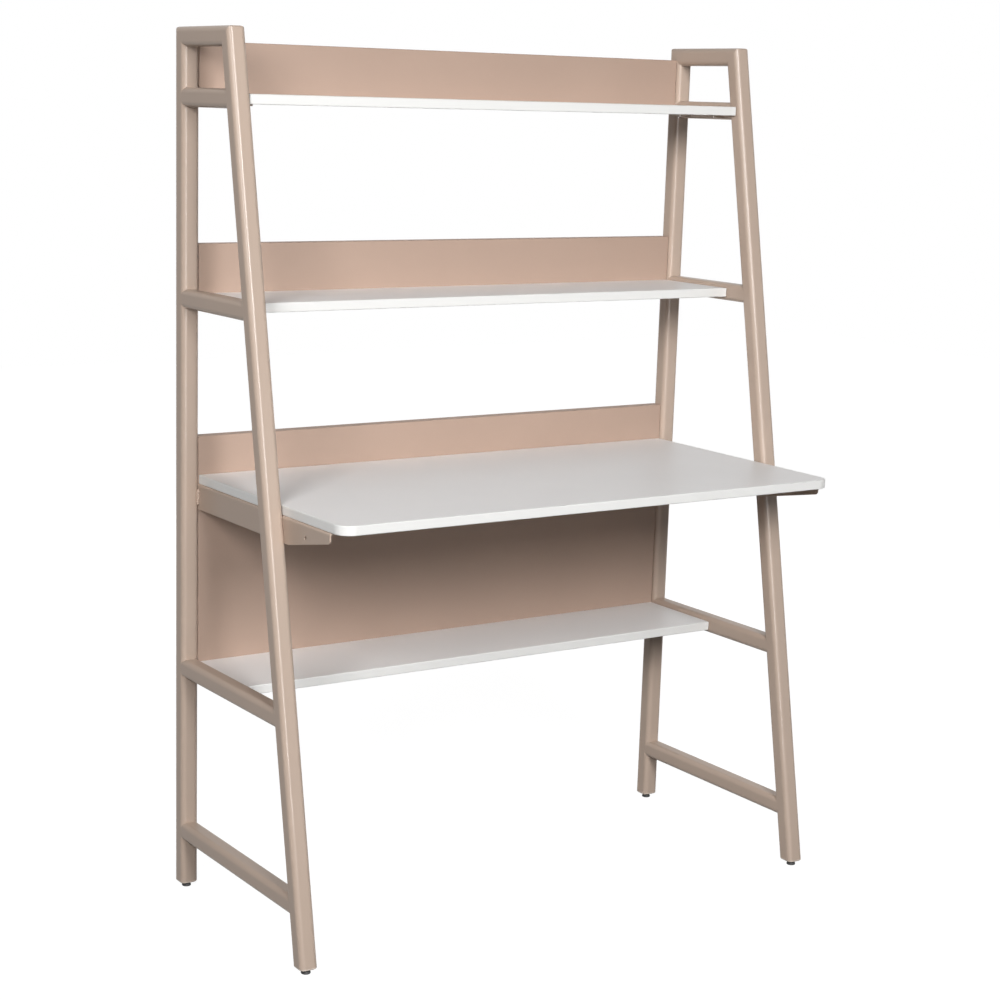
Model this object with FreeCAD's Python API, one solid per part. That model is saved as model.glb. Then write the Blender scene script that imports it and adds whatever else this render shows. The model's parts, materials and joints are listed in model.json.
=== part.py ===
import FreeCAD, Part
import math
import os

V = FreeCAD.Vector

# Driving dimensions, in millimetres. X is the width, -Y the front, +Z up, and the floor is at Z = 0.

# Welded side frames, of square tube with large soft corners
FRAME_WIDTH = 1060.0        # over the outer faces of the two side frames
FRAME_HEIGHT = 1482.5       # floor to the top of the frames
FRAME_DEPTH_TOP = 193.5     # rear face to front face of a side frame, along its top
FRAME_DEPTH_FOOT = 470.5    # the same at the bottom of the legs
TUBE = 31.75                # tube, across flats
TUBE_CORNER = 9.0           # outer corner radius of the tube's section
TUBE_WALL = 1.5
TOP_CORNER = 5.0            # dressed radius of the two mitred corners at the top
RAIL_INSET = 0.25           # each rail face lies this far inside the uprights' faces
UPPER_RAIL_DROP = 112.5     # top of the frames to the upper rails' centres
RAIL_SPACING = 329.5        # centres of the upper and middle rails
LOWER_RAIL_Z = 402.5        # rail centre heights above the floor
FOOT_RAIL_Z = 106.0

# Boards and their edging
BOARD = 16.0                # thickness of every board
BOARD_END_GAP = 2.5         # board end to the uprights' inner faces
SHELF_DEPTH = 180.0
DESK_TOP_Z = 740.0
DESK_DEPTH = 493.0
DESK_CORNER = 26.0          # radius of the desktop's two front corners
EDGING = 2.0                # edging strip thickness
EDGING_ARRIS = 1.6          # rounding of the edging's long edges

# Folded sheet back panels
SHEET = 1.2
SHEET_BEND = 1.8            # outer bend radius
PANEL_SETBACK = 6.95        # panel face behind the uprights' front faces
PANEL_REAR_INSET = 3.0      # flange edges in front of the uprights' rear faces
UPPER_PANEL_HEIGHT = 98.5   # each from its shelf's underside
MIDDLE_PANEL_HEIGHT = 98.5
DESK_UPSTAND = 66.0         # desk panel above the desktop
CORNER_SLIT = 0.8           # open slit where two flanges meet
BOARD_REAR_GAP = 0.2        # board to panel face

# Bolts and rivet nuts of the panels
BOLT_RADIUS = 2.5
BOLT_LENGTH = 12.0
BOLT_HEAD_RADIUS = 4.7
BOLT_HEAD = 2.7
BOLT_HEAD_TOP_RADIUS = 2.9
HEX_SOCKET = 3.0            # across flats
HEX_SOCKET_DEPTH = 1.6
BOLT_CLEARANCE = 0.25
BOLT_END_MARGIN = 24.0      # first and last bolt from the panel's lower and upper edge
BOLT_PITCH = 190.0          # largest distance between bolts
RIVET_RADIUS = 3.5
RIVET_LENGTH = 10.0
RIVET_FLANGE_RADIUS = 5.0
RIVET_FLANGE = 0.5
FIT = 0.05                  # radial clearance of a close fit

# Wood screws and shelf tabs
SCREW_RADIUS = 2.0
SCREW_DEPTH = 11.0          # into the board
SCREW_TIP = 2.5
SCREW_TIP_RADIUS = 0.5
SCREW_HEAD_RADIUS = 3.8
SCREW_HEAD_TOP_RADIUS = 2.6
SCREW_HEAD = 2.2
SCREW_CLEARANCE = 0.3
TAB = 3.0                   # tab thickness
TAB_WIDTH = 24.0
TAB_REACH = 27.0            # from the uprights' inner face
TAB_CORNER = 5.0
TAB_REAR_Y = 35.0           # tab centres, in front of the shelf's rear edge
TAB_FRONT_Y = 133.0
TAB_SCREW_X = 16.0          # screw from the uprights' inner face

# Desk brackets of bent plate
PLATE = 3.0
PLATE_BEND = 4.5            # outer bend radius
BRACKET_HEIGHT = 43.5
BRACKET_TIP_HEIGHT = 17.0
BRACKET_TIP_CORNER = 7.0
BRACKET_EDGE = 0.6          # rounding of the plate's free edges
BRACKET_FLANGE = 25.0
BRACKET_FRONT_SETBACK = 34.0    # tip behind the desktop's front edge
BRACKET_REAR_GAP = 0.7      # in front of the panel face
BRACKET_KNEE = 8.0          # in front of the leg, where the lower edge starts to rise
BRACKET_HOLE_RADIUS = 4.0
BRACKET_HOLE_BACK = 77.5    # hole behind the tip
BRACKET_HOLE_DROP = 21.0    # hole below the desktop
BRACKET_SCREW_MARGIN = 40.0
BRACKET_SCREWS = 3
WELD_LENGTH = 28.0
REAR_WELD_RADIUS = 2.8
REAR_WELD_IN = 0.4          # bead axis outside the bracket's web
REAR_WELD_BACK = 2.6        # bead axis behind the upright's front face
LEG_WELD_RADIUS = 1.9
LEG_WELD_IN = 1.2
LEG_WELD_BACK = 2.4         # bead axis in front of the leg's rear face

# Levelling feet and leg plugs
FOOT_GAP = 9.5              # floor to the underside of the leg plugs
PLUG_HEAD = 3.0
PLUG_EDGE = 1.2             # chamfer of the plug's visible edge
PLUG_INSERT = 22.0
PLUG_CLEARANCE = 0.1
STUD_RADIUS = 3.0
STUD_LENGTH = 30.0          # from the underside of the stud's disc to its upper end
STUD_CLEARANCE = 0.4        # around the stud in the plug
STUD_SLOT = 1.0
STUD_SLOT_DEPTH = 1.5
NECK_RADIUS = 1.7
NECK_LENGTH = 5.6           # from the underside of the disc to the full stud
DISC_RADIUS = 3.2           # disc at the stud's lower end, held in the pad
DISC = 1.5
NUT_FLATS = 10.0
NUT_LENGTH = 12.0
NUT_START = 11.0            # from the underside of the disc to the nut
PAD_RADIUS = 8.0
PAD_SHOULDER = 2.6          # height of the pad's straight side
PAD_TOP_RADIUS = 4.4
PAD_HEIGHT = 6.8
PAD_EDGE = 0.7
PAD_SEAT_Z = 2.0            # floor of the hollow that holds the disc
PAD_HOLLOW = 3.2            # height of that hollow
PAD_HOLLOW_CLEARANCE = 0.5
SEAT_CLEARANCE = 0.1
NECK_CLEARANCE = 0.9        # room for the neck to lean in the pad's mouth

# Working sizes for tools that reach past a solid
PAST = 5.0
FAR = 3000.0

# Worked-out places
UPPER_RAIL_Z = FRAME_HEIGHT - UPPER_RAIL_DROP
MIDDLE_RAIL_Z = UPPER_RAIL_Z - RAIL_SPACING
HALF_WIDTH = FRAME_WIDTH / 2
INNER_X = HALF_WIDTH - TUBE
TUBE_X = HALF_WIDTH - TUBE / 2
BOARD_REAR = TUBE - PANEL_SETBACK + BOARD_REAR_GAP      # measured from the frames' rear faces
OVERALL_DEPTH = max(BOARD_REAR + DESK_DEPTH, FRAME_DEPTH_FOOT)
REAR_Y = OVERALL_DEPTH / 2
REAR_FRONT_Y = REAR_Y - TUBE                            # front face of the rear uprights
PANEL_Y = REAR_FRONT_Y + PANEL_SETBACK
BOARD_REAR_Y = REAR_Y - BOARD_REAR
DESK_FRONT_Y = BOARD_REAR_Y - DESK_DEPTH
DESK_UNDER_Z = DESK_TOP_Z - BOARD
STEEL_BOTTOM_Z = FOOT_GAP + PLUG_HEAD
SLOPE = (FRAME_DEPTH_FOOT - FRAME_DEPTH_TOP) / (FRAME_HEIGHT - FOOT_GAP)
LEAN = math.atan(SLOPE)
HALF_LEVEL_CUT = TUBE / 2 / math.cos(LEAN)              # half the leg's depth, cut level
RAIL_SIZE = TUBE - 2 * RAIL_INSET
BRACKET_REAR_Y = PANEL_Y - BRACKET_REAR_GAP
BRACKET_TIP_Y = DESK_FRONT_Y + BRACKET_FRONT_SETBACK


def leg_front_y(z):
    """Front face of a front upright at height z."""
    return REAR_Y - FRAME_DEPTH_TOP - (FRAME_HEIGHT - z) * SLOPE


def leg_centre_y(z):
    return leg_front_y(z) + HALF_LEVEL_CUT


def box(x0, x1, y0, y1, z0, z1):
    return Part.makeBox(x1 - x0, y1 - y0, z1 - z0, V(x0, y0, z0))


def rod(radius, start, direction, length):
    return Part.makeCylinder(radius, length, start, direction)


def along(shape, axis):
    """The straight edges of a shape that run along X (0), Y (1) or Z (2)."""
    found = []
    for edge in shape.Edges:
        if len(edge.Vertexes) != 2:
            continue
        step = edge.Vertexes[1].Point - edge.Vertexes[0].Point
        if abs(abs(step[axis]) - step.Length) < 1e-6:
            found.append(edge)
    return found


def side_prism(points):
    """A solid with the given (y, z) outline, past the whole width of the desk."""
    corners = [V(-FAR, y, z) for y, z in points]
    face = Part.Face(Part.makePolygon(corners + corners[:1]))
    return face.extrude(V(2 * FAR, 0, 0))


def cut_right_of(shape, start, end):
    """Cuts away what lies right of the line from start to end, in (y, z) with z up."""
    step_y, step_z = end[0] - start[0], end[1] - start[1]
    length = math.hypot(step_y, step_z)
    uy, uz = step_y / length * FAR, step_z / length * FAR
    near = (start[0] - uy, start[1] - uz)
    far = (start[0] + uy, start[1] + uz)
    return shape.cut(side_prism([near, far, (far[0] + uz, far[1] - uy), (near[0] + uz, near[1] - uy)]))


def rounded_bar(size, corner, axis, x0, y0, z0, length):
    """A square bar along Y (1) or Z (2) with its four long edges rounded."""
    if axis == 2:
        bar = box(x0, x0 + size, y0, y0 + size, z0, z0 + length)
    else:
        bar = box(x0, x0 + size, y0, y0 + length, z0, z0 + size)
    return bar.makeFillet(corner, along(bar, axis))


def dress_corner(bar, corner, first, second, inset):
    """Rounds the frame's outer corner between two unit directions, seen from the side."""
    half_angle = math.acos(first[0] * second[0] + first[1] * second[1]) / 2
    middle_y, middle_z = first[0] + second[0], first[1] + second[1]
    scale = 1 / math.sin(half_angle) / math.hypot(middle_y, middle_z)
    centre = (corner[0] + middle_y * scale * TOP_CORNER, corner[1] + middle_z * scale * TOP_CORNER)
    radius = TOP_CORNER - inset
    tip = (centre[0] - middle_y * scale * radius, centre[1] - middle_z * scale * radius)
    reach = radius / math.tan(half_angle)
    kite = side_prism([tip, (tip[0] + first[0] * reach, tip[1] + first[1] * reach), centre,
                       (tip[0] + second[0] * reach, tip[1] + second[1] * reach)])
    return bar.cut(kite.cut(rod(radius, V(-FAR, centre[0], centre[1]), V(1, 0, 0), 2 * FAR)))


# Side view of the two mitred corners: outer and inner point of each, as (y, z)
REAR_OUTER = (REAR_Y, FRAME_HEIGHT)
REAR_INNER = (REAR_Y - TUBE, FRAME_HEIGHT - TUBE)
FRONT_OUTER = (leg_front_y(FRAME_HEIGHT), FRAME_HEIGHT)
FRONT_INNER = (leg_front_y(FRAME_HEIGHT - TUBE) + 2 * HALF_LEVEL_CUT, FRAME_HEIGHT - TUBE)
FORWARD, REARWARD, DOWN = (-1, 0), (1, 0), (0, -1)
DOWN_LEG = (-math.sin(LEAN), -math.cos(LEAN))


def rear_upright_bar(inset, bottom):
    bar = rounded_bar(TUBE - 2 * inset, TUBE_CORNER - inset, 2, INNER_X + inset, REAR_Y - TUBE + inset,
                      bottom, FRAME_HEIGHT - inset - bottom)
    bar = cut_right_of(bar, REAR_OUTER, REAR_INNER)
    return dress_corner(bar, REAR_OUTER, FORWARD, DOWN, inset)


def front_upright_bar(inset, bottom):
    reach = FRAME_HEIGHT / math.cos(LEAN) + TUBE
    bar = rounded_bar(TUBE - 2 * inset, TUBE_CORNER - inset, 2, INNER_X + inset, inset, -reach, reach + TUBE)
    bar.rotate(V(0, 0, 0), V(1, 0, 0), -math.degrees(LEAN))
    bar.translate(V(0, *FRONT_OUTER))
    bar = cut_right_of(bar, FRONT_INNER, FRONT_OUTER)
    bar = cut_right_of(bar, (0, FRAME_HEIGHT - inset), (-1, FRAME_HEIGHT - inset))
    bar = cut_right_of(bar, (0, bottom), (1, bottom))
    return dress_corner(bar, FRONT_OUTER, REARWARD, DOWN_LEG, inset)


def top_rail_bar(inset):
    start = FRONT_OUTER[0] - PAST
    bar = rounded_bar(TUBE - 2 * inset, TUBE_CORNER - inset, 1, INNER_X + inset, start,
                      FRAME_HEIGHT - TUBE + inset, REAR_Y - inset - start)
    bar = cut_right_of(bar, REAR_INNER, REAR_OUTER)
    bar = cut_right_of(bar, FRONT_OUTER, FRONT_INNER)
    bar = dress_corner(bar, REAR_OUTER, FORWARD, DOWN, inset)
    return dress_corner(bar, FRONT_OUTER, REARWARD, DOWN_LEG, inset)


def rail_bar(centre_z, inset):
    size = RAIL_SIZE - 2 * inset
    start = leg_centre_y(centre_z)
    return rounded_bar(size, TUBE_CORNER - inset, 1, INNER_X + RAIL_INSET + inset, start,
                       centre_z - size / 2, REAR_Y - TUBE / 2 - start)


def rail(centre_z):
    """A rail tube, its ends coped round the two uprights that it is welded to."""
    tube = rail_bar(centre_z, 0).cut(rail_bar(centre_z, TUBE_WALL))
    return tube.cut(rear_upright_bar(0, STEEL_BOTTOM_Z)).cut(front_upright_bar(0, STEEL_BOTTOM_Z))


def panel_bolt_heights(low, high):
    """Bolt heights along one end of a panel."""
    first, last = low + BOLT_END_MARGIN, high - BOLT_END_MARGIN
    spaces = max(1, math.ceil((last - first) / BOLT_PITCH))
    return [first + (last - first) * i / spaces for i in range(spaces + 1)]


# Each panel and board, from the heights of the rails that carry them
SHELF_RAILS = {"upper": UPPER_RAIL_Z, "middle": MIDDLE_RAIL_Z, "lower": LOWER_RAIL_Z}
PANELS = {
    "upper_back_panel": (UPPER_RAIL_Z - BOARD / 2, UPPER_RAIL_Z - BOARD / 2 + UPPER_PANEL_HEIGHT),
    "middle_back_panel": (MIDDLE_RAIL_Z - BOARD / 2, MIDDLE_RAIL_Z - BOARD / 2 + MIDDLE_PANEL_HEIGHT),
    "desk_back_panel": (LOWER_RAIL_Z - BOARD / 2, DESK_TOP_Z + DESK_UPSTAND),
}
PANEL_BOLT_Y = REAR_Y - TUBE / 2


def rear_upright():
    tube = rear_upright_bar(0, STEEL_BOTTOM_Z).cut(rear_upright_bar(TUBE_WALL, STEEL_BOTTOM_Z - PAST))
    for low, high in PANELS.values():
        for z in panel_bolt_heights(low, high):
            start = V(INNER_X - PAST, PANEL_BOLT_Y, z)
            tube = tube.cut(rod(RIVET_RADIUS + FIT, start, V(1, 0, 0), PAST + TUBE / 2))
    return tube


def front_upright():
    return front_upright_bar(0, STEEL_BOTTOM_Z).cut(front_upright_bar(TUBE_WALL, STEEL_BOTTOM_Z - PAST))


def top_rail():
    return top_rail_bar(0).cut(top_rail_bar(TUBE_WALL))


def back_panel(low, high):
    """A shallow tray of sheet, open to the rear, with a flange folded back along all four edges."""
    half = INNER_X - RIVET_FLANGE
    rear = REAR_Y - PANEL_REAR_INSET
    tray = box(-half, half, PANEL_Y, rear, low, high)
    front = [e for e in along(tray, 0) + along(tray, 2) if e.CenterOfMass.y < PANEL_Y + SHEET / 2]
    tray = tray.makeFillet(SHEET_BEND, front)
    hollow = box(-half + SHEET, half - SHEET, PANEL_Y + SHEET, rear + PAST, low + SHEET, high - SHEET)
    front = [e for e in along(hollow, 0) + along(hollow, 2) if e.CenterOfMass.y < PANEL_Y + 2 * SHEET]
    tray = tray.cut(hollow.makeFillet(SHEET_BEND - SHEET, front))
    for side in (-1, 1):
        inner_x, outer_x = sorted((side * (half - SHEET - CORNER_SLIT), side * (half - SHEET)))
        for edge_low in (low - PAST, high - SHEET):
            tray = tray.cut(box(inner_x, outer_x, PANEL_Y + SHEET_BEND, rear + PAST,
                                edge_low, edge_low + SHEET + PAST))
        for z in panel_bolt_heights(low, high):
            start = V(side * (half - SHEET - PAST), PANEL_BOLT_Y, z)
            tray = tray.cut(rod(BOLT_RADIUS + BOLT_CLEARANCE, start, V(side, 0, 0), 2 * PAST))
    return tray


def hexagon(flats, height, centre, direction):
    """A hexagonal prism that starts at centre and runs along direction."""
    radius = flats / math.sqrt(3)
    corners = [V(radius * math.cos(math.radians(60 * i)), radius * math.sin(math.radians(60 * i)), 0)
               for i in range(6)]
    prism = Part.Face(Part.makePolygon(corners + corners[:1])).extrude(V(0, 0, height))
    prism.Placement = FreeCAD.Placement(centre, FreeCAD.Rotation(V(0, 0, 1), direction))
    return prism


def panel_bolt(z):
    """A socket head bolt through the right flange of a panel, into its rivet nut."""
    face_x = INNER_X - RIVET_FLANGE - SHEET
    outer = V(face_x - BOLT_HEAD, PANEL_BOLT_Y, z)
    head = Part.makeCone(BOLT_HEAD_TOP_RADIUS, BOLT_HEAD_RADIUS, BOLT_HEAD, outer, V(1, 0, 0))
    socket = hexagon(HEX_SOCKET, HEX_SOCKET_DEPTH, outer, V(1, 0, 0))
    shank = rod(BOLT_RADIUS, V(face_x, PANEL_BOLT_Y, z), V(1, 0, 0), BOLT_LENGTH)
    return head.cut(socket).fuse(shank).removeSplitter()


def rivet_nut(z):
    """A threaded sleeve in the upright's inner wall, its flange under the panel."""
    flange = rod(RIVET_FLANGE_RADIUS, V(INNER_X - RIVET_FLANGE, PANEL_BOLT_Y, z), V(1, 0, 0), RIVET_FLANGE)
    sleeve = rod(RIVET_RADIUS, V(INNER_X - RIVET_FLANGE, PANEL_BOLT_Y, z), V(1, 0, 0),
                 RIVET_LENGTH + RIVET_FLANGE)
    bore = rod(BOLT_RADIUS + FIT, V(INNER_X - PAST, PANEL_BOLT_Y, z), V(1, 0, 0), RIVET_LENGTH + 3 * PAST)
    return flange.fuse(sleeve).cut(bore).removeSplitter()


def wood_screw(x, y, board_z, thickness):
    """A pan head screw from below, through metal of the given thickness, into the board at board_z."""
    seat = board_z - thickness
    up = V(0, 0, 1)
    head = Part.makeCone(SCREW_HEAD_TOP_RADIUS, SCREW_HEAD_RADIUS, SCREW_HEAD, V(x, y, seat - SCREW_HEAD), up)
    straight = thickness + SCREW_DEPTH - SCREW_TIP
    shank = rod(SCREW_RADIUS, V(x, y, seat), up, straight)
    tip = Part.makeCone(SCREW_RADIUS, SCREW_TIP_RADIUS, SCREW_TIP, V(x, y, seat + straight), up)
    return head.fuse(shank).fuse(tip).removeSplitter()


def pilot_hole(x, y, board_z):
    return rod(SCREW_RADIUS + FIT, V(x, y, board_z - PAST), V(0, 0, 1), PAST + SCREW_DEPTH + FIT)


def drilled(board, places, board_z):
    for x, y in places:
        board = board.cut(pilot_hole(x, y, board_z))
    return board


def shelf_screw_places():
    """Four screws of a shelf, one in each tab."""
    return [(side * (INNER_X - TAB_SCREW_X), BOARD_REAR_Y - y)
            for side in (-1, 1) for y in (TAB_REAR_Y, TAB_FRONT_Y)]


def shelf_parts(rail_z):
    """A shelf board and the edging strip on its front edge."""
    half = INNER_X - BOARD_END_GAP
    under, front = rail_z - BOARD / 2, BOARD_REAR_Y - SHELF_DEPTH
    board = box(-half, half, front + EDGING, BOARD_REAR_Y, under, under + BOARD)
    strip = box(-half, half, front, front + EDGING, under, under + BOARD)
    outer = [e for e in along(strip, 0) if e.CenterOfMass.y < front + EDGING / 2]
    return drilled(board, shelf_screw_places(), under), strip.makeFillet(EDGING_ARRIS, outer)


def desktop_slab(inset):
    """The desktop's outline, drawn in by an inset on all four sides."""
    half = INNER_X - BOARD_END_GAP - inset
    slab = box(-half, half, DESK_FRONT_Y + inset, BOARD_REAR_Y - inset, DESK_UNDER_Z, DESK_TOP_Z)
    front = [e for e in along(slab, 2) if e.CenterOfMass.y < 0]
    return slab.makeFillet(DESK_CORNER - inset, front)


def bracket_screw_places():
    first, last = BRACKET_REAR_Y - BRACKET_SCREW_MARGIN, BRACKET_TIP_Y + BRACKET_SCREW_MARGIN
    x = INNER_X - (PLATE_BEND + BRACKET_FLANGE) / 2
    return [(side * x, first + (last - first) * i / (BRACKET_SCREWS - 1))
            for side in (-1, 1) for i in range(BRACKET_SCREWS)]


def desktop_parts():
    slab = desktop_slab(0)
    rims = [e for e in slab.Edges if e not in along(slab, 2)
            and abs(e.Vertexes[0].Z - e.Vertexes[1].Z) < 1e-6]
    ring = slab.makeFillet(EDGING_ARRIS, rims).cut(desktop_slab(EDGING))
    return drilled(desktop_slab(EDGING), bracket_screw_places(), DESK_UNDER_Z), ring


def shelf_tabs(rail_z):
    """Two flat tabs under the shelf's right end, shaped to the rail that they are welded to."""
    under = rail_z - BOARD / 2
    tabs = []
    for y in (TAB_REAR_Y, TAB_FRONT_Y):
        centre = BOARD_REAR_Y - y
        tab = box(INNER_X - TAB_REACH, INNER_X + TUBE / 2, centre - TAB_WIDTH / 2, centre + TAB_WIDTH / 2,
                  under - TAB, under)
        free = [e for e in along(tab, 2) if e.CenterOfMass.x < INNER_X - TAB_REACH / 2]
        tab = tab.makeFillet(TAB_CORNER, free)
        hole = rod(SCREW_RADIUS + SCREW_CLEARANCE, V(INNER_X - TAB_SCREW_X, centre, under - TAB - PAST),
                   V(0, 0, 1), TAB + 2 * PAST)
        tabs.append(tab.cut(hole).cut(rail_bar(rail_z, 0)))
    return tabs


def free_edges(bracket):
    """The sloping lower edges of the web, on both of its faces. The rounding runs on round the tip."""
    return [e for e in bracket.Edges
            if all(v.Z < DESK_UNDER_Z - PLATE_BEND for v in e.Vertexes)
            and abs(e.Vertexes[0].X - e.Vertexes[-1].X) < 1e-6
            and abs(e.Vertexes[0].Y - e.Vertexes[-1].Y) > PLATE]


def desk_bracket():
    """The right bracket: a web along the frame and a flange folded in under the desktop."""
    top, low = DESK_UNDER_Z, DESK_UNDER_Z - BRACKET_HEIGHT
    turn = PLATE_BEND - PLATE
    diagonal = math.sqrt(0.5)
    bend = V(INNER_X - PLATE_BEND, BRACKET_TIP_Y, top - PLATE_BEND)

    def bend_arc(radius, ends):
        middle = bend + V(radius * diagonal, 0, radius * diagonal)
        return Part.Arc(ends[0], middle, ends[1]).toShape()

    y = BRACKET_TIP_Y
    outer = (V(INNER_X, y, bend.z), V(bend.x, y, top))
    inner = (V(bend.x, y, top - PLATE), V(INNER_X - PLATE, y, bend.z))
    flange_x = INNER_X - BRACKET_FLANGE
    edges = [
        Part.makeLine(V(INNER_X, y, low), outer[0]), bend_arc(PLATE_BEND, outer),
        Part.makeLine(outer[1], V(flange_x, y, top)),
        Part.makeLine(V(flange_x, y, top), V(flange_x, y, top - PLATE)),
        Part.makeLine(V(flange_x, y, top - PLATE), inner[0]), bend_arc(turn, inner),
        Part.makeLine(inner[1], V(INNER_X - PLATE, y, low)),
        Part.makeLine(V(INNER_X - PLATE, y, low), V(INNER_X, y, low)),
    ]
    section = Part.Face(Part.Wire(edges))
    blank = section.extrude(V(0, BRACKET_REAR_Y - BRACKET_TIP_Y, 0))
    taper_y = leg_front_y(low) - BRACKET_KNEE
    tip_low = top - BRACKET_TIP_HEIGHT
    outline = side_prism([(BRACKET_REAR_Y, low), (BRACKET_REAR_Y, top), (BRACKET_TIP_Y, top),
                          (BRACKET_TIP_Y, tip_low), (taper_y, low)])
    tip = [e for e in along(outline, 0)
           if abs(e.CenterOfMass.y - BRACKET_TIP_Y) < 1e-6 and e.CenterOfMass.z < top - PLATE]
    bracket = blank.common(outline.makeFillet(BRACKET_TIP_CORNER, tip))
    bracket = bracket.makeFillet(BRACKET_EDGE, free_edges(bracket))
    hole = V(INNER_X - 2 * PLATE, BRACKET_TIP_Y + BRACKET_HOLE_BACK, top - BRACKET_HOLE_DROP)
    bracket = bracket.cut(rod(BRACKET_HOLE_RADIUS, hole, V(1, 0, 0), 4 * PLATE))
    for x, screw_y in bracket_screw_places():
        if x > 0:
            start = V(x, screw_y, top - PLATE - PAST)
            bracket = bracket.cut(rod(SCREW_RADIUS + SCREW_CLEARANCE, start, V(0, 0, 1), PLATE + 2 * PAST))
    return bracket


def bracket_welds():
    """Two beads that join the right bracket to the rear upright and to the leg."""
    centre_z = DESK_UNDER_Z - BRACKET_HEIGHT / 2
    start = V(INNER_X + REAR_WELD_IN, REAR_FRONT_Y + REAR_WELD_BACK, centre_z - WELD_LENGTH / 2)
    rear = rod(REAR_WELD_RADIUS, start, V(0, 0, 1), WELD_LENGTH)
    rear = rear.cut(rear_upright_bar(0, STEEL_BOTTOM_Z)).cut(desk_bracket())
    rear = rear.cut(box(INNER_X - TUBE, INNER_X, BRACKET_REAR_Y, REAR_Y, 0, FRAME_HEIGHT))
    back_y = leg_front_y(centre_z) + 2 * HALF_LEVEL_CUT
    down = V(0, *DOWN_LEG)
    axis = V(INNER_X + LEG_WELD_IN, back_y, centre_z) - V(0, LEG_WELD_BACK / math.cos(LEAN), 0)
    leg = rod(LEG_WELD_RADIUS, axis - down * (WELD_LENGTH / 2), down, WELD_LENGTH)
    leg = leg.cut(front_upright_bar(0, STEEL_BOTTOM_Z)).cut(desk_bracket())
    return [max(bead.Solids, key=lambda solid: solid.Volume) for bead in (rear, leg)]


def stud_base(lean):
    """Centre of the underside of a right foot's disc, which leans with its leg."""
    z = PAD_SEAT_Z + SEAT_CLEARANCE + DISC_RADIUS * math.sin(lean)
    return V(TUBE_X, leg_centre_y(z) if lean else REAR_Y - TUBE / 2, z)


def on_leg(shape, lean):
    """Puts a shape made along +Z onto the axis of a right leg, from its foot's disc upwards."""
    placed = shape.copy()
    placed.rotate(V(0, 0, 0), V(1, 0, 0), -math.degrees(lean))
    placed.translate(stud_base(lean))
    return placed


def foot_stud(lean):
    """Disc, neck and stud, with a screwdriver slot in the upper end."""
    up = V(0, 0, 1)
    stud = rod(DISC_RADIUS, V(0, 0, 0), up, DISC).fuse(rod(NECK_RADIUS, V(0, 0, DISC), up, NECK_LENGTH - DISC))
    stud = stud.fuse(rod(STUD_RADIUS, V(0, 0, NECK_LENGTH), up, STUD_LENGTH - NECK_LENGTH))
    slot = box(-2 * STUD_RADIUS, 2 * STUD_RADIUS, -STUD_SLOT / 2, STUD_SLOT / 2,
               STUD_LENGTH - STUD_SLOT_DEPTH, STUD_LENGTH + PAST)
    return on_leg(stud.cut(slot), lean)


def foot_pad(lean):
    """A round pad, turned, snapped over the disc of the stud with room to swivel."""
    hollow = DISC_RADIUS + PAD_HOLLOW_CLEARANCE
    mouth = NECK_RADIUS + NECK_CLEARANCE
    ceiling = PAD_SEAT_Z + PAD_HOLLOW
    profile = [(0, 0), (PAD_RADIUS - PAD_EDGE, 0), (PAD_RADIUS, PAD_EDGE), (PAD_RADIUS, PAD_SHOULDER),
               (PAD_TOP_RADIUS, PAD_HEIGHT), (mouth, PAD_HEIGHT), (mouth, ceiling), (hollow, ceiling),
               (hollow, PAD_SEAT_Z), (0, PAD_SEAT_Z)]
    points = [V(r, 0, z) for r, z in profile]
    pad = Part.Face(Part.makePolygon(points + points[:1])).revolve(V(0, 0, 0), V(0, 0, 1), 360)
    pad.translate(V(TUBE_X, stud_base(lean).y, 0))
    return pad


def leg_nut(lean):
    nut = hexagon(NUT_FLATS, NUT_LENGTH, V(0, 0, NUT_START), V(0, 0, 1))
    bore = rod(STUD_RADIUS + FIT, V(0, 0, 0), V(0, 0, 1), NUT_START + NUT_LENGTH + PAST)
    return on_leg(nut.cut(bore), lean)


def leg_plug(lean):
    """A plug in the leg's open end: a head as wide as the tube, and a body that holds the nut."""
    bar = front_upright_bar if lean else rear_upright_bar
    split_z, top_z = STEEL_BOTTOM_Z, STEEL_BOTTOM_Z + PLUG_INSERT
    head = cut_right_of(bar(0, FOOT_GAP), (0, split_z), (-1, split_z))
    rim = [e for e in head.Edges if max(v.Z for v in e.Vertexes) < FOOT_GAP + 1e-3]
    head = head.makeChamfer(PLUG_EDGE, rim)
    body = cut_right_of(bar(TUBE_WALL + PLUG_CLEARANCE, split_z), (0, top_z), (-1, top_z))
    hole = rod(STUD_RADIUS + STUD_CLEARANCE, V(0, 0, 0), V(0, 0, 1), STUD_LENGTH + 2 * TUBE)
    pocket = hexagon(NUT_FLATS + 2 * FIT, PLUG_INSERT + PAST, V(0, 0, NUT_START), V(0, 0, 1))
    return head.fuse(body).removeSplitter().cut(on_leg(hole, lean)).cut(on_leg(pocket, lean))


def mirrored(shape):
    return shape.mirror(V(0, 0, 0), V(1, 0, 0))


def write(name, solids):
    shape = solids[0] if len(solids) == 1 else Part.makeCompound(solids)
    shape.exportStep(os.path.join("parts", name + ".step"))


def write_pair(name, solids):
    """Writes a right-hand sub-part and its mirror image."""
    write("right_" + name, solids)
    write("left_" + name, [mirrored(solid) for solid in solids])


def both_sides(solids):
    return solids + [mirrored(solid) for solid in solids]


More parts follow.
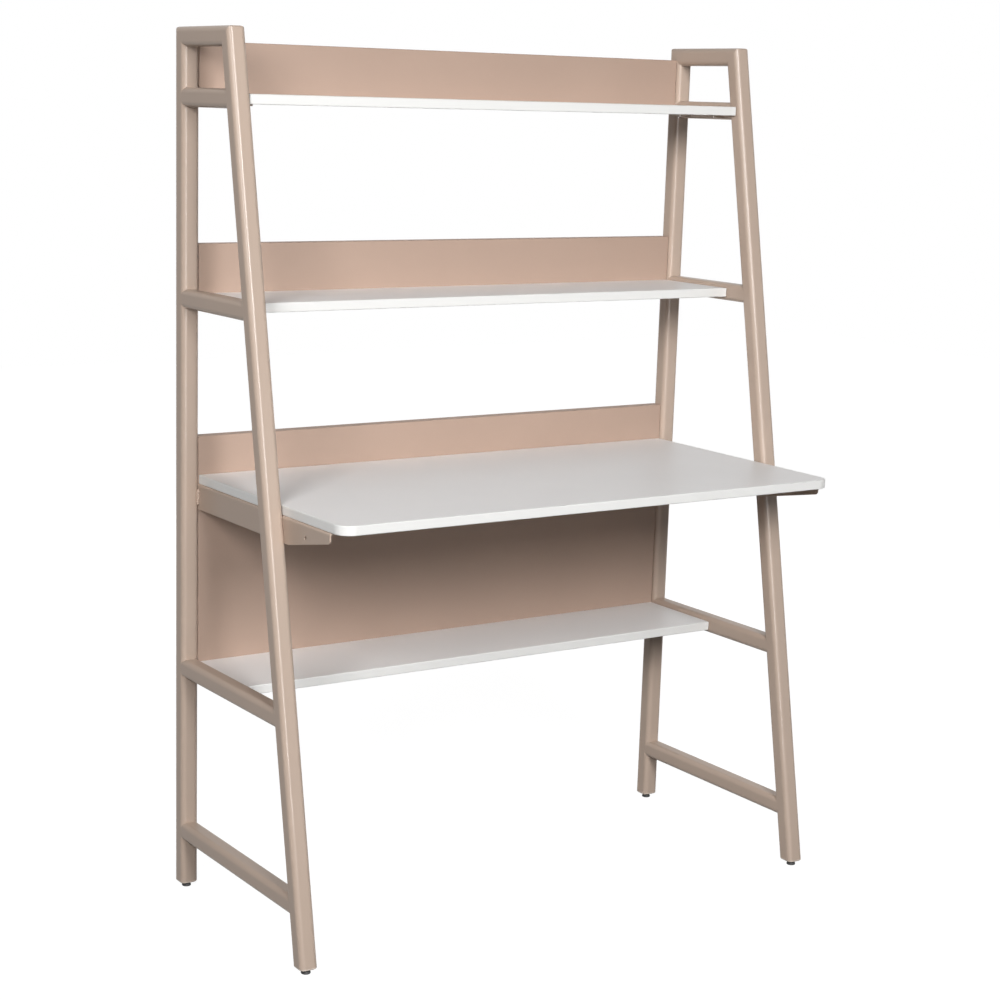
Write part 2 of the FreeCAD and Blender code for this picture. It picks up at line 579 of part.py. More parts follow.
def main():
    os.makedirs("parts", exist_ok=True)
    write_pair("rear_upright", [rear_upright()])
    write_pair("front_upright", [front_upright()])
    write_pair("top_rail", [top_rail()])
    write_pair("foot_rail", [rail(FOOT_RAIL_Z)])
    for name, rail_z in SHELF_RAILS.items():
        board, strip = shelf_parts(rail_z)
        write_pair(name + "_rail", [rail(rail_z)])
        write(name + "_shelf", [board])
        write(name + "_shelf_edging", [strip])
        write(name + "_shelf_tabs", both_sides(shelf_tabs(rail_z)))
        write(name + "_shelf_screws",
              [wood_screw(x, y, rail_z - BOARD / 2, TAB) for x, y in shelf_screw_places()])
    board, ring = desktop_parts()
    write("desktop", [board])
    write("desktop_edging", [ring])
    write("desktop_screws", [wood_screw(x, y, DESK_UNDER_Z, PLATE) for x, y in bracket_screw_places()])
    write_pair("desk_bracket", [desk_bracket()])
    write("bracket_welds", both_sides(bracket_welds()))
    rivet_nuts = []
    for name, (low, high) in PANELS.items():
        heights = panel_bolt_heights(low, high)
        write(name, [back_panel(low, high)])
        write(name + "_bolts", both_sides([panel_bolt(z) for z in heights]))
        rivet_nuts += [rivet_nut(z) for z in heights]
    write("rivet_nuts", both_sides(rivet_nuts))
    write("leg_nuts", both_sides([leg_nut(0), leg_nut(LEAN)]))
    for end, lean in (("rear", 0), ("front", LEAN)):
        for name, make in (("leg_plug", leg_plug), ("foot_stud", foot_stud), ("foot_pad", foot_pad)):
            shape = make(lean)
            write("_".join((end, "right", name)), [shape])
            write("_".join((end, "left", name)), [mirrored(shape)])


main()
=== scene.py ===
import json
import math

import bmesh
import bpy
from bpy.props import FloatProperty, FloatVectorProperty, IntProperty, PointerProperty
from bpy.types import Operator, Panel, PropertyGroup
from mathutils import Matrix, Vector


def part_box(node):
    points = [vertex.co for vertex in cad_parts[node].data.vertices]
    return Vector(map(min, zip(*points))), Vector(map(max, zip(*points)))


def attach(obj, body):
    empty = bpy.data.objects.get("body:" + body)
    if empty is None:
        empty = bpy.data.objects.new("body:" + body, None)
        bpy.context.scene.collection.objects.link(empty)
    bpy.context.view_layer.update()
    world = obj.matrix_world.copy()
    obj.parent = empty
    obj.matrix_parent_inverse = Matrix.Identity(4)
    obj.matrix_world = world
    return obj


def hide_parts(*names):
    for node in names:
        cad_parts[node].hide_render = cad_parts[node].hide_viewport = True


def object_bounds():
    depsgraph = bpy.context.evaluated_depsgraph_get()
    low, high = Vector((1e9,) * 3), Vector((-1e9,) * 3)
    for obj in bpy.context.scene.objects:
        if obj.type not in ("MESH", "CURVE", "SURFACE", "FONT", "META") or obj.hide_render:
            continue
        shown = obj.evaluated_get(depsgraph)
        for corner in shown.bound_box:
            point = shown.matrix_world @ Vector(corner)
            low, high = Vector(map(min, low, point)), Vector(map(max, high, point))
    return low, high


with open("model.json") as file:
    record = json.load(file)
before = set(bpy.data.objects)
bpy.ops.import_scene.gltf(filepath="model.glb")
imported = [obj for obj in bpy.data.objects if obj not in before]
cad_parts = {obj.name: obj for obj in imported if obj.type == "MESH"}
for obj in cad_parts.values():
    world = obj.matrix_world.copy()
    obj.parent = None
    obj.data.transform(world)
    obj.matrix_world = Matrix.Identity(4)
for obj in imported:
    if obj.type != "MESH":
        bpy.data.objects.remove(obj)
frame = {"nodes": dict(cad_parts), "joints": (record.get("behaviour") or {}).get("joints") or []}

bl_info = {
    "name": "Ladder Desk",
    "version": (1, 0, 0),
    "blender": (4, 5, 0),
    "location": "View3D > Sidebar > Ladder Desk",
    "description": "Finishes, welds, fasteners and feet of a ladder desk, and the studio round it",
    "category": "Object",
}

NODES = frame["nodes"]
SCREW_JOINTS = [joint for joint in frame["joints"] if joint["type"] == "hinge"]
CAD_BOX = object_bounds()

MM = 0.001
MERGE = 1e-6                        # closer vertices are one
SMOOTH_BELOW = math.radians(34)     # flatter edges are shaded smooth
X, Z = Vector((1, 0, 0)), Vector((0, 0, 1))
NOWHERE = Vector((0, 0, 0))
FULL_TURN = 2 * math.pi

# Weld beads. The shares are of the bead's radius.
BEAD_SIDES = 14
BEAD_ROWS = 10                      # to each ripple
BEAD_WAIST = 0.3                    # depth of the notch between two ripples
BEAD_TIP = 0.3                      # width of the first and last row
BEAD_BLUNTNESS = 8                  # the higher, the more suddenly a bead ends
TAB_BEAD_SINK = 0.45                # how far a tab's bead stays below the tab
TAB_BEAD_INSET = 0.35               # and inside the rail's face
UP_THE_LEG = 2.5                    # a bracket weld this much deeper than wide follows the leg

# Floor
FLOOR_WIDTH = 14.0
FLOOR_NEAR, FLOOR_FAR = 1.5, 4.0    # the lift rises from near to full between these distances
NEAR_LIFT, FULL_LIFT = 0.95, 1.0
GREY_LOW, GREY_HIGH = (0.14, 0.14, 0.14), (0.15, 0.15, 0.15)

# Each lamp's azimuth and elevation in degrees, its distance from the middle of the desk, and
# its width and height. Its radiance is among the settings.
LAMPS = {
    "key": (-12, 24.5, 5.0, (1.05, 1.5)),
    "side": (-49, 24.0, 5.0, (1.5, 1.6)),
    "back": (180, 2, 3.6, (1.4, 1.1)),
    "fill": (100, 2, 3.6, (1.4, 1.1)),
    "glint": (-19, 15, 3.2, (0.55, 2.8)),
    "veil": (32, -2, 4.0, (2.6, 2.6)),
}
UNMIRRORED = ("back", "fill")       # lamps that don't show in glossy coats
CARDS = ("glint", "veil")           # lamps that only glossy coats mirror

SENSOR_WIDTH = 36                   # of the camera, in millimetres
SKIN_ROUGHNESS = 0.12               # of the glassy skin on the baked powder
PATTERN_LOW, PATTERN_HIGH = 0.3, 0.7    # middle range of a noise pattern

BOARDS = ("desktop", "upper_shelf", "middle_shelf", "lower_shelf")
BACK_PANELS = ("upper_back_panel", "middle_back_panel", "desk_back_panel")
SHELF_TABS = ("upper_shelf_tabs", "middle_shelf_tabs", "lower_shelf_tabs")
SIDES = ("left", "right")
FEET = [f"{end}_{side}" for end in ("rear", "front") for side in SIDES]
FRAME_MEMBERS = ("rear_upright", "front_upright", "top_rail", "upper_rail", "middle_rail",
                 "lower_rail", "foot_rail", "desk_bracket")


# Settings

class Finishes(PropertyGroup):
    """Colours of the desk's finishes."""

    frame_coat: FloatVectorProperty(
        name="Frame coat", description="Powder coat of tubes, brackets and tabs",
        subtype="COLOR", min=0, max=1, default=(0.488, 0.381, 0.310))
    panel_coat: FloatVectorProperty(
        name="Panel coat", description="Powder coat of the folded back panels",
        subtype="COLOR", min=0, max=1, default=(0.430, 0.310, 0.246))
    laminate: FloatVectorProperty(
        name="Laminate", description="Faces of the desktop and shelves",
        subtype="COLOR", min=0, max=1, default=(0.868, 0.854, 0.848))
    edging: FloatVectorProperty(
        name="Edging", description="Edging strips of the boards",
        subtype="COLOR", min=0, max=1, default=(0.790, 0.787, 0.770))
    plug: FloatVectorProperty(
        name="Leg plugs", description="Moulded plugs in the ends of the legs",
        subtype="COLOR", min=0, max=1, default=(0.500, 0.415, 0.350))
    foot: FloatVectorProperty(
        name="Foot pads", description="Moulded pads of the levelling feet",
        subtype="COLOR", min=0, max=1, default=(0.017, 0.016, 0.016))
    zinc: FloatVectorProperty(
        name="Zinc", description="Plating of studs, nuts and bolts",
        subtype="COLOR", min=0, max=1, default=(0.640, 0.635, 0.615))
    black_zinc: FloatVectorProperty(
        name="Black zinc", description="Plating of the wood screws",
        subtype="COLOR", min=0, max=1, default=(0.230, 0.205, 0.190))
    gloss: FloatProperty(
        name="Coat roughness", description="Roughness of the frame's powder coat",
        min=0, max=1, default=0.33)


class Fittings(PropertyGroup):
    """Sizes of the small fittings."""

    ripple: FloatProperty(
        name="Weld ripple", description="Distance between the ripples of a weld bead",
        unit="LENGTH", min=0.0005, default=6.5 * MM)
    tab_weld: FloatProperty(
        name="Tab weld radius", description="Radius of the beads under the shelf tabs",
        unit="LENGTH", min=0.0005, default=1.9 * MM)
    recess_width: FloatProperty(
        name="Cross recess", description="Width across the cross recess of a wood screw",
        unit="LENGTH", min=0.0005, default=4.4 * MM)
    socket_flats: FloatProperty(
        name="Hex socket", description="Width across flats of a panel bolt's socket",
        unit="LENGTH", min=0.0005, default=3.0 * MM)
    stud_pitch: FloatProperty(
        name="Stud pitch", description="Thread pitch of the levelling studs",
        unit="LENGTH", min=0.0002, default=1.0 * MM)
    bolt_pitch: FloatProperty(
        name="Bolt pitch", description="Thread pitch of the panel bolts",
        unit="LENGTH", min=0.0002, default=0.8 * MM)
    screw_pitch: FloatProperty(
        name="Screw pitch", description="Thread pitch of the wood screws",
        unit="LENGTH", min=0.0002, default=1.8 * MM)
    segments: IntProperty(
        name="Segments", description="Segments round a turned piece", min=8, default=32)


class Studio(PropertyGroup):
    """Camera and lamps."""

    camera: FloatVectorProperty(
        name="Camera", description="Place of the camera",
        subtype="TRANSLATION", unit="LENGTH", default=(-2.0580, -2.9793, 1.3823))
    azimuth: FloatProperty(
        name="Azimuth", description="Turn of the view from the desk's front towards its right",
        subtype="ANGLE", default=math.radians(-32.954))
    elevation: FloatProperty(
        name="Elevation", description="Downward tilt of the view",
        subtype="ANGLE", default=math.radians(11.788))
    roll: FloatProperty(
        name="Roll", description="Roll of the view", subtype="ANGLE", default=math.radians(1.574))
    lens: FloatProperty(
        name="Lens", description="Focal length in millimetres", min=1, default=76.06)
    shift: FloatVectorProperty(
        name="Shift", description="Shift of the lens", size=2, default=(0.0463, 0.0378))
    key: FloatProperty(
        name="Key", description="Radiance of the lamp in front of the desk", min=0, default=32.0)
    side: FloatProperty(
        name="Side", description="Radiance of the lamp at the front left", min=0, default=20.0)
    back: FloatProperty(
        name="Back", description="Radiance of the lamp behind the desk", min=0, default=11.0)
    fill: FloatProperty(
        name="Fill", description="Radiance of the lamp at the right of the desk",
        min=0, default=8.0)
    glint: FloatProperty(
        name="Glint", description="Radiance of the narrow card that shows only in glossy coats",
        min=0, default=46.0)
    veil: FloatProperty(
        name="Veil", description="Radiance of the wide card that shows only in glossy coats",
        min=0, default=1.4)


class LadderDesk(PropertyGroup):
    """All settings of the desk."""

    finishes: PointerProperty(type=Finishes)
    fittings: PointerProperty(type=Fittings)
    studio: PointerProperty(type=Studio)


# Materials

class Shader:
    """A new material's node tree, with short calls to add to it."""

    def __init__(self, name):
        self.material = bpy.data.materials.new(name)
        self.material.use_nodes = True
        self.tree = self.material.node_tree
        self.tree.nodes.clear()
        self.place = self.add("TexCoord").outputs["Object"]

    def add(self, kind, sockets=None, **attributes):
        """Adds a node. A socket's value is a plain value, or the output that feeds it."""
        node = self.tree.nodes.new("ShaderNode" + kind)
        for key, value in attributes.items():
            setattr(node, key, value)
        for key, value in (sockets or {}).items():
            if isinstance(value, bpy.types.NodeSocket):
                self.tree.links.new(value, node.inputs[key])
            else:
                node.inputs[key].default_value = value
        return node

    def stretched(self, scale):
        """Object coordinates, scaled differently along each axis."""
        return self.add("Mapping", {"Vector": self.place, "Scale": scale}).outputs["Vector"]

    def noise(self, scale, detail=2.0, place=None):
        sockets = {"Vector": place or self.place, "Scale": scale, "Detail": detail}
        return self.add("TexNoise", sockets).outputs["Fac"]

    def pebbles(self, scale):
        """Soft round cells, as on moulded or sprayed surfaces."""
        return self.add("TexVoronoi", {"Vector": self.place, "Scale": scale, "Smoothness": 0.6},
                        feature="SMOOTH_F1").outputs["Distance"]

    def between(self, factor, low, high):
        """A number that runs from low to high as a pattern runs through its middle range."""
        sockets = {"Value": factor, "From Min": PATTERN_LOW, "From Max": PATTERN_HIGH,
                   "To Min": low, "To Max": high}
        return self.add("MapRange", sockets).outputs["Result"]

    def mixed(self, first, second, weight):
        """One pattern with a share of another."""
        product = self.add("Math", {0: second, 1: weight}, operation="MULTIPLY").outputs[0]
        return self.add("Math", {0: first, 1: 1 - weight, 2: product},
                        operation="MULTIPLY_ADD").outputs[0]

    def tinted(self, factor, dark, light):
        """A colour that runs from dark to light as a pattern runs through its middle range."""
        ramp = self.add("ValToRGB", {"Fac": factor})
        low, high = ramp.color_ramp.elements
        low.position, high.position = PATTERN_LOW, PATTERN_HIGH
        low.color, high.color = (*dark, 1), (*light, 1)
        return ramp.outputs["Color"]

    def raised(self, height, depth, under=None):
        """A normal raised by a pattern to a depth in metres, over another normal if one is given."""
        sockets = {"Height": height, "Distance": depth, "Strength": 1.0}
        if under:
            sockets["Normal"] = under
        return self.add("Bump", sockets).outputs["Normal"]

    def surface(self, **sockets):
        """The surface shader and the output. Underscores stand for spaces in the sockets' names."""
        named = {key.replace("_", " "): value for key, value in sockets.items()}
        shader = self.add("BsdfPrincipled", named)
        self.add("OutputMaterial", {"Surface": shader.outputs[0]})
        return self.material


def shade(colour, factor):
    return tuple(min(1.0, part * factor) for part in colour)


def powder_coat(name, colour, roughness, shine, skin, grain, peel_depth):
    """Sprayed and baked powder: slow clouds of tone, fine specks, and an orange peel surface."""
    coat = Shader(name)
    clouds = coat.noise(scale=5.0, detail=3.0)
    specks = coat.noise(scale=1500.0, detail=1.0)
    tone = coat.mixed(clouds, specks, weight=grain)
    peel = coat.noise(scale=420.0)
    pits = coat.pebbles(scale=1300.0)
    normal = coat.raised(pits, peel_depth * 0.15, coat.raised(peel, peel_depth))
    return coat.surface(
        Base_Color=coat.tinted(tone, shade(colour, 0.965), shade(colour, 1.03)),
        Roughness=coat.between(clouds, roughness - 0.02, roughness + 0.02),
        Specular_IOR_Level=shine,
        Coat_Weight=skin,
        Coat_Roughness=SKIN_ROUGHNESS,
        Normal=normal)


def laminate(name, colour):
    """Pressed melamine: a faint pearl texture with satin highs and duller lows."""
    face = Shader(name)
    pearl = face.pebbles(scale=900.0)
    waves = face.noise(scale=260.0)
    tone = face.mixed(face.noise(scale=7.0), waves, weight=0.3)
    return face.surface(
        Base_Color=face.tinted(tone, shade(colour, 0.985), shade(colour, 1.01)),
        Roughness=face.between(waves, low=0.38, high=0.46),
        Normal=face.raised(pearl, 0.02 * MM, under=face.raised(waves, 0.02 * MM)))


def edging_strip(name, colour):
    """Extruded edging: faint lines along its length and a slight wave from the press roller."""
    strip = Shader(name)
    lines = strip.noise(scale=1.0, detail=3.0, place=strip.stretched((6.0, 6.0, 1700.0)))
    waves = strip.noise(scale=30.0, detail=1.0)
    return strip.surface(
        Base_Color=strip.tinted(lines, shade(colour, 0.985), shade(colour, 1.01)),
        Roughness=strip.between(waves, low=0.30, high=0.38),
        Specular_IOR_Level=0.42,
        Normal=strip.raised(lines, 0.008 * MM, under=strip.raised(waves, 0.03 * MM)))


def moulded_plastic(name, colour, roughness):
    """Injection moulded plastic with an eroded mould grain and a few dull scuffs."""
    plastic = Shader(name)
    grain = plastic.pebbles(scale=2400.0)
    scuffs = plastic.noise(scale=160.0, detail=4.0)
    return plastic.surface(
        Base_Color=plastic.tinted(scuffs, shade(colour, 0.9), shade(colour, 1.15)),
        Roughness=plastic.between(scuffs, roughness - 0.06, roughness + 0.10),
        Normal=plastic.raised(grain, 0.02 * MM))


def zinc_plate(name, colour):
    """Zinc: a slightly uneven passivated film over drawn and pressed steel."""
    plate = Shader(name)
    film = plate.noise(scale=220.0, detail=3.0)
    crystals = plate.pebbles(scale=5200.0)
    red, green, blue = colour
    return plate.surface(
        Base_Color=plate.tinted(film, (red * 0.86, green * 0.86, blue * 0.92),
                                (red * 1.06, green * 1.05, blue * 0.98)),
        Metallic=1.0,
        Roughness=plate.between(film, low=0.28, high=0.44),
        Normal=plate.raised(crystals, 0.004 * MM))


def material_named(name):
    """A finish by name, made the first time that it is asked for."""
    if name in bpy.data.materials:
        return bpy.data.materials[name]
    colours = bpy.context.scene.ladder_desk.finishes
    makers = {
        "frame_coat": lambda: powder_coat(
            name, colours.frame_coat, roughness=colours.gloss, shine=0.12, skin=0.12, grain=0.35,
            peel_depth=0.015 * MM),
        "panel_coat": lambda: powder_coat(
            name, colours.panel_coat, roughness=0.52, shine=0.18, skin=0.0, grain=0.45,
            peel_depth=0.02 * MM),
        "laminate_face": lambda: laminate(name, colours.laminate),
        "edging_strip": lambda: edging_strip(name, colours.edging),
        "plug_plastic": lambda: moulded_plastic(name, colours.plug, roughness=0.45),
        "foot_plastic": lambda: moulded_plastic(name, colours.foot, roughness=0.36),
        "zinc_plate": lambda: zinc_plate(name, colours.zinc),
        "black_zinc": lambda: zinc_plate(name, colours.black_zinc),
    }
    return makers[name]()


def finish_node(node, finish):
    """Gives a CAD node a finish on all its slots."""
    for slot in NODES[node].material_slots:
        slot.material = material_named(finish)


# Shapes

def turned(profile, segments):
    """A closed solid from a profile of (radius, height) points, turned round the Z axis."""
    shape = bmesh.new()
    points = [shape.verts.new((radius, 0, height)) for radius, height in profile]
    edges = [shape.edges.new(pair) for pair in zip(points, points[1:])]
    bmesh.ops.spin(shape, geom=points + edges, cent=NOWHERE, axis=Z, angle=FULL_TURN,
                   steps=segments, use_merge=True)
    bmesh.ops.remove_doubles(shape, verts=shape.verts, dist=MERGE)
    bmesh.ops.recalc_face_normals(shape, faces=shape.faces)
    return shape


def soften(shape, edges, width, segments):
    """Rounds edges."""
    bmesh.ops.bevel(shape, geom=edges, offset=width, offset_type="OFFSET", affect="EDGES",
                    segments=segments, profile=0.5, material=-1)


def rings_at(shape, radius, height):
    """The edges of the ring with this radius and height."""
    found = []
    for edge in shape.edges:
        if all(abs(v.co.z - height) < MERGE and abs(v.co.xy.length - radius) < MERGE
               for v in edge.verts):
            found.append(edge)
    return found


def prism(sides, radius, low, high):
    """A straight prism or cylinder along Z."""
    shape = bmesh.new()
    bmesh.ops.create_cone(shape, cap_ends=True, segments=sides, radius1=radius, radius2=radius,
                          depth=high - low, matrix=Matrix.Translation((0, 0, (low + high) / 2)))
    return shape


def blade(width, thickness, low, high):
    """A flat cutter along Z."""
    shape = bmesh.new()
    made = bmesh.ops.create_cube(shape, size=1)
    bmesh.ops.scale(shape, vec=(width, thickness, high - low), verts=made["verts"])
    bmesh.ops.translate(shape, vec=(0, 0, (low + high) / 2), verts=made["verts"])
    return shape


def thread(root, crest, pitch, low, high, steps_per_turn):
    """A helical ridge round the Z axis, with both ends run out to the root."""
    shape = bmesh.new()
    turns = (high - low) / pitch - 1
    steps = round(turns * steps_per_turn)
    inside, base = root - pitch * 0.1, pitch * 0.9
    land_low, land_high = pitch * 0.36, pitch * 0.54
    profile = ((inside, 0), (inside, base), (crest, land_high), (crest, land_low))
    points = [shape.verts.new((radius, 0, low + height)) for radius, height in profile]
    edges = [shape.edges.new((points[i - 1], points[i])) for i in range(len(points))]
    made = bmesh.ops.spin(shape, geom=points + edges, cent=NOWHERE, axis=Z, steps=steps,
                          dvec=Z * (turns * pitch / steps),
                          angle=FULL_TURN * steps / steps_per_turn)
    last = [item for item in made["geom_last"] if isinstance(item, bmesh.types.BMVert)]
    for end in (points, last):
        bmesh.ops.contextual_create(shape, geom=end)
        bmesh.ops.scale(shape, vec=(root / crest, root / crest, 1), verts=end[2:])
    bmesh.ops.recalc_face_normals(shape, faces=shape.faces)
    return shape


def joined(*shapes):
    """One shape of several. The parts are used up."""
    whole = bmesh.new()
    for shape in shapes:
        mesh = bpy.data.meshes.new("part")
        shape.to_mesh(mesh)
        shape.free()
        whole.from_mesh(mesh)
        bpy.data.meshes.remove(mesh)
    return whole


def cut(shape, cutter):
    """A shape less another. Both are used up."""
    objects = []
    for item in (shape, cutter):
        mesh = bpy.data.meshes.new("part")
        item.to_mesh(mesh)
        item.free()
        objects.append(bpy.data.objects.new("part", mesh))
        bpy.context.scene.collection.objects.link(objects[-1])
    body, tool = objects
    modifier = body.modifiers.new("cut", "BOOLEAN")
    modifier.operation = "DIFFERENCE"
    modifier.solver = "EXACT"
    modifier.object = tool
    result = bmesh.new()
    result.from_object(body, bpy.context.evaluated_depsgraph_get())
    for item in objects:
        mesh = item.data
        bpy.data.objects.remove(item)
        bpy.data.meshes.remove(mesh)
    return result


def repeated(shape, places):
    """One shape with a copy at each place. The first is used up."""
    single = bpy.data.meshes.new("part")
    shape.to_mesh(single)
    shape.free()
    whole = bmesh.new()
    for place in places:
        start = len(whole.verts)
        whole.from_mesh(single)
        whole.verts.ensure_lookup_table()
        bmesh.ops.transform(whole, matrix=place, verts=whole.verts[start:])
    bpy.data.meshes.remove(single)
    return whole


def standing(origin, direction):
    """The place of a shape that was made from the origin along +Z."""
    turn = direction.to_track_quat("Z", "Y").to_matrix().to_4x4()
    return Matrix.Translation(origin) @ turn


def shells(node):
    """Lowest and highest corner of each closed shell of a CAD node."""
    copy = bmesh.new()
    copy.from_mesh(NODES[node].data)
    bmesh.ops.remove_doubles(copy, verts=copy.verts, dist=MERGE)
    waiting = set(copy.verts)
    boxes = []
    while waiting:
        ring = [waiting.pop()]
        shell = []
        while ring:
            vert = ring.pop()
            shell.append(vert.co.copy())
            near = {edge.other_vert(vert) for edge in vert.link_edges} & waiting
            waiting -= near
            ring.extend(near)
        boxes.append((Vector(map(min, *shell)), Vector(map(max, *shell))))
    copy.free()
    return sorted(boxes, key=lambda box: tuple(box[0]))


def add_piece(name, shape, finish, body, replaced=None):
    """Makes the object of a new piece and ties it to its body. The shape is used up."""
    mesh = bpy.data.meshes.new(name)
    shape.to_mesh(mesh)
    shape.free()
    mesh.materials.append(material_named(finish))
    mesh.shade_smooth()
    mesh.set_sharp_from_angle(angle=SMOOTH_BELOW)
    piece = bpy.data.objects.new(name, mesh)
    bpy.context.scene.collection.objects.link(piece)
    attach(piece, body)
    if replaced:
        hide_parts(replaced)


# Pieces

class LADDERDESK_OT_coat_steel(Operator):
    """Gives the welded frame and the folded panels their powder coats"""

    bl_idname = "ladder_desk.coat_steel"
    bl_label = "Coat Steel"

    def execute(self, context):
        for side in SIDES:
            for member in FRAME_MEMBERS:
                finish_node(f"{side}_{member}", "frame_coat")
        for tabs in SHELF_TABS:
            finish_node(tabs, "frame_coat")
        for panel in BACK_PANELS:
            finish_node(panel, "panel_coat")
        return {"FINISHED"}


class LADDERDESK_OT_face_boards(Operator):
    """Gives the boards their laminate and their edging strips"""

    bl_idname = "ladder_desk.face_boards"
    bl_label = "Face Boards"

    def execute(self, context):
        for board in BOARDS:
            finish_node(board, "laminate_face")
            finish_node(f"{board}_edging", "edging_strip")
        return {"FINISHED"}


class LADDERDESK_OT_finish_inserts(Operator):
    """Finishes the leg plugs and the nuts inside the tubes"""

    bl_idname = "ladder_desk.finish_inserts"
    bl_label = "Finish Inserts"

    def execute(self, context):
        for foot in FEET:
            finish_node(f"{foot}_leg_plug", "plug_plastic")
        for nuts in ("leg_nuts", "rivet_nuts"):
            finish_node(nuts, "zinc_plate")
        return {"FINISHED"}


def bead_width(row, rows):
    """Share of a bead's full width at a row: thin at both ends, a round lobe for each ripple."""
    swell = max(BEAD_TIP, math.sqrt(1 - (2 * row / rows - 1) ** BEAD_BLUNTNESS))
    across_lobe = 2 * (row % BEAD_ROWS) / BEAD_ROWS - 1
    return swell * (1 - BEAD_WAIST + BEAD_WAIST * math.sqrt(1 - across_lobe ** 2))


def weld_bead(start, end, radius, ripple):
    """A rippled bead from one point to another."""
    length = (end - start).length
    rows = BEAD_ROWS * max(3, round(length / ripple))
    shape = bmesh.new()
    bmesh.ops.create_circle(shape, cap_ends=True, segments=BEAD_SIDES,
                            radius=radius * bead_width(0, rows))
    rim = shape.edges[:]
    for row in range(rows):
        grown = bmesh.ops.extrude_edge_only(shape, edges=rim)["geom"]
        ring = [item for item in grown if isinstance(item, bmesh.types.BMVert)]
        rim = [item for item in grown if isinstance(item, bmesh.types.BMEdge)
               and all(v in ring for v in item.verts)]
        growth = bead_width(row + 1, rows) / bead_width(row, rows)
        bmesh.ops.translate(shape, vec=Z * (length / rows), verts=ring)
        bmesh.ops.scale(shape, vec=(growth, growth, 1), verts=ring)
    bmesh.ops.contextual_create(shape, geom=ring)
    bmesh.ops.recalc_face_normals(shape, faces=shape.faces)
    bmesh.ops.transform(shape, matrix=standing(start, end - start), verts=shape.verts)
    return shape


class LADDERDESK_OT_weld_brackets(Operator):
    """Lays the weld beads that join the desk brackets to the uprights"""

    bl_idname = "ladder_desk.weld_brackets"
    bl_label = "Weld Brackets"

    def execute(self, context):
        fittings = context.scene.ladder_desk.fittings
        leg = -Vector(SCREW_JOINTS[-1]["axis"])
        beads = []
        for low, high in shells("bracket_welds"):
            centre, size = (low + high) / 2, high - low
            along_leg = size.y > UP_THE_LEG * size.x
            half = (leg / leg.z if along_leg else Z) * size.z / 2
            radius = max(size.x / 2, size.y / 2 - abs(half.y))
            beads.append(weld_bead(centre - half, centre + half, radius, fittings.ripple))
        add_piece("bracket_weld_beads", joined(*beads), "frame_coat", "desk",
                  "bracket_welds")
        return {"FINISHED"}


class LADDERDESK_OT_weld_tabs(Operator):
    """Lays a weld bead under each shelf tab, where it meets the rail"""

    bl_idname = "ladder_desk.weld_tabs"
    bl_label = "Weld Tabs"

    def execute(self, context):
        fittings = context.scene.ladder_desk.fittings
        radius = fittings.tab_weld
        beads = []
        for tabs in SHELF_TABS:
            for low, high in shells(tabs):
                rail = low.x if low.x + high.x < 0 else high.x
                inward = math.copysign(TAB_BEAD_INSET * radius, -rail)
                start = Vector((rail + inward, low.y + 2 * radius, low.z - TAB_BEAD_SINK * radius))
                end = Vector((start.x, high.y - 2 * radius, start.z))
                beads.append(weld_bead(start, end, radius, fittings.ripple))
        add_piece("tab_weld_beads", joined(*beads), "frame_coat", "desk")
        return {"FINISHED"}


class LADDERDESK_OT_drive_screws(Operator):
    """Drives the cross recessed wood screws into the boards from below"""

    bl_idname = "ladder_desk.drive_screws"
    bl_label = "Drive Screws"

    def execute(self, context):
        fittings = context.scene.ladder_desk.fittings
        for board in BOARDS:
            node = f"{board}_screws"
            boxes = shells(node)
            low, high = boxes[0]
            shape = wood_screw((high.x - low.x) / 2, high.z - low.z, fittings)
            places = [Matrix.Translation(((a.x + b.x) / 2, (a.y + b.y) / 2, a.z))
                      for a, b in boxes]
            add_piece(f"{board}_wood_screws", repeated(shape, places), "black_zinc",
                      "desk", node)
        return {"FINISHED"}


def wood_screw(head_radius, length, fittings):
    """A pan head wood screw along +Z, its head at the origin."""
    crown, crown_radius, rim, head = 0.12 * MM, 0.62 * head_radius, 0.9 * MM, 2.2 * MM
    shank_end, thread_start, tip_start = head + 3.4 * MM, head + 4.2 * MM, length - 2.5 * MM
    shank, core = 2.0 * MM, 1.35 * MM
    wing_width, wing_depth, past = 0.95 * MM, 1.6 * MM, 0.6 * MM
    run_out = 0.6 * MM
    profile = [(0, crown / 2), (crown_radius, crown), (head_radius, rim), (head_radius, head),
               (shank, head), (shank, shank_end), (core, thread_start), (core, tip_start),
               (0, length)]
    shape = turned(profile, fittings.segments)
    soften(shape, rings_at(shape, head_radius, rim), width=0.7 * MM, segments=4)
    for turn in (0, math.pi / 2):
        wing = blade(fittings.recess_width, wing_width, -past, wing_depth)
        bmesh.ops.transform(wing, matrix=Matrix.Rotation(turn, 4, "Z"), verts=wing.verts)
        shape = cut(shape, wing)
    ridge = thread(core, shank, fittings.screw_pitch, shank_end + run_out, length - run_out,
                   steps_per_turn=16)
    return joined(shape, ridge)


class LADDERDESK_OT_fit_bolts(Operator):
    """Fits the button head bolts that hold the back panels"""

    bl_idname = "ladder_desk.fit_bolts"
    bl_label = "Fit Bolts"

    def execute(self, context):
        fittings = context.scene.ladder_desk.fittings
        for panel in BACK_PANELS:
            node = f"{panel}_bolts"
            boxes = shells(node)
            low, high = boxes[0]
            shape = panel_bolt((high.z - low.z) / 2, high.x - low.x, fittings)
            places = []
            for a, b in boxes:
                side = 1 if a.x > 0 else -1
                outer = Vector((a.x if side > 0 else b.x, (a.y + b.y) / 2, (a.z + b.z) / 2))
                places.append(standing(outer, X * side))
            add_piece(f"{panel}_button_bolts", repeated(shape, places), "zinc_plate",
                      "desk", node)
        return {"FINISHED"}


